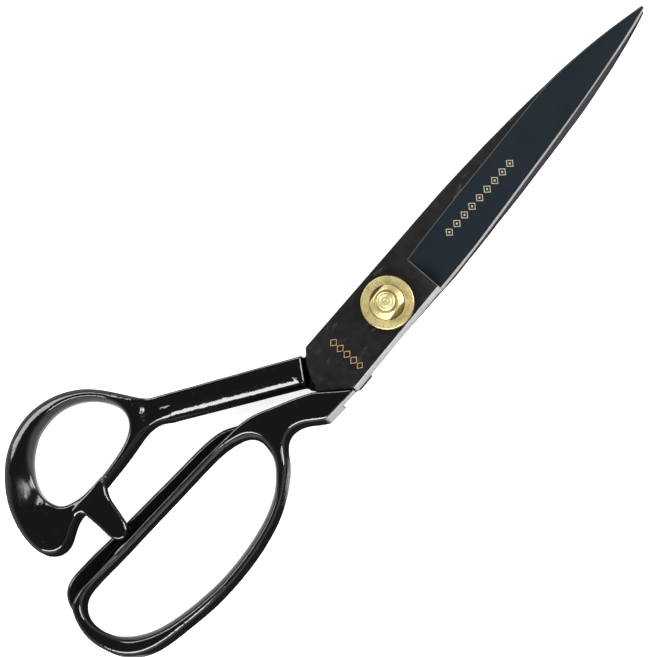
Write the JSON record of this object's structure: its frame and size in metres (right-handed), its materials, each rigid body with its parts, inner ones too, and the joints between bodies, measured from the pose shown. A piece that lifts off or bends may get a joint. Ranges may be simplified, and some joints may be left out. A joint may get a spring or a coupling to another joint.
{
  "type": "fabric shears",
  "caption": "Bent-handle fabric shears: two forged blades on an adjustable brass pivot, a long bow for the fingers and a small bow with a stop spur for the thumb.",
  "frame": {"origin": "on the pivot axis, in the plane the closed shears rest on, which is the flat underside of the pivot bolt's head", "axes": "+X along the closed blades from the pivot to the tip, +Y across the blades towards the thumb bow, +Z along the pivot axis towards the nut"},
  "size_m": [0.2498, 0.081, 0.0159],
  "materials": {
    "blade_steel": "black oxide over satin steel, bright ground edge",
    "black_enamel": "gloss black stoving enamel over cast iron",
    "brass": "turned brass"
  },
  "bodies": {
    "front_half": {"front_blade": "blade_steel", "finger_bow": "black_enamel"},
    "back_half": {"back_blade": "blade_steel", "thumb_bow": "black_enamel", "pivot_bolt": "brass", "pivot_disc": "brass"},
    "nut": {"pivot_nut": "brass"}
  },
  "joints": [
    {"name": "blade_pivot", "type": "hinge", "parent": "front_half", "child": "back_half", "pos_m": [0, 0, 0.0065], "axis": [0, 0, -1], "range_deg": [0, 70]},
    {"name": "nut_turn", "type": "hinge", "parent": "back_half", "child": "nut", "pos_m": [0, 0, 0.0125], "axis": [0, 0, 1], "range_deg": [-10, 90]}
  ]
}
